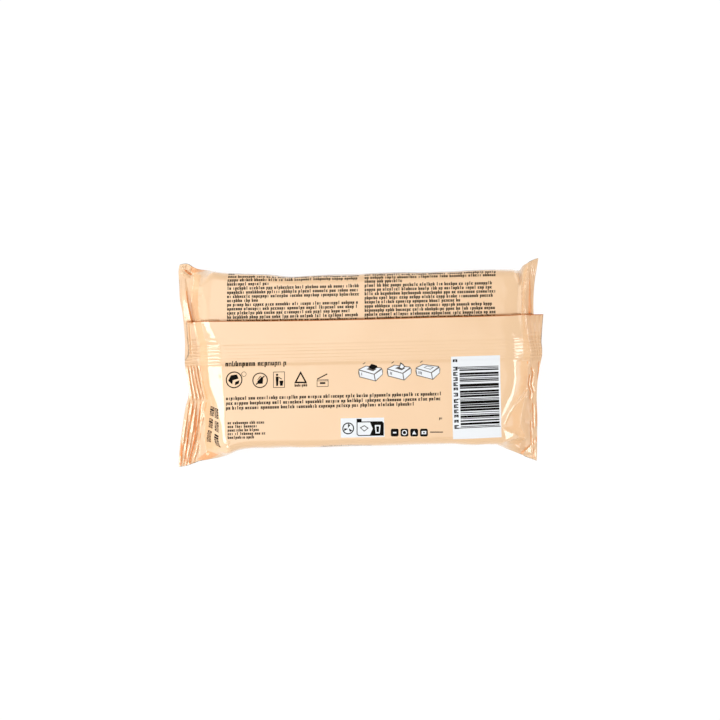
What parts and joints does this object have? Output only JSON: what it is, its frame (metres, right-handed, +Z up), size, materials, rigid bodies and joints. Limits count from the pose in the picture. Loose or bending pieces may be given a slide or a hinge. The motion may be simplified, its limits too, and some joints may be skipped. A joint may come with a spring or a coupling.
{
  "type": "wet wipes pack",
  "caption": "Sealed film flow-wrap pack of wet wipes with crimped ends, a fin seam folded flat over its back, and a peel-back label on its front.",
  "frame": {"origin": "middle of the pack's outline in X and Y, on the surface that it lies on", "axes": "+X along the pack's length, +Y across its width from the fin flap's root towards its free edge, +Z up out of the back panel"},
  "size_m": [0.18, 0.1028, 0.0297],
  "materials": {
    "printed_film": "glossy laminated film, peach with dark print",
    "label_film": "semi-gloss adhesive label film"
  },
  "bodies": {
    "root": {"wipes_pack": "printed_film", "resealable_label": "label_film"}
  },
  "joints": []
}
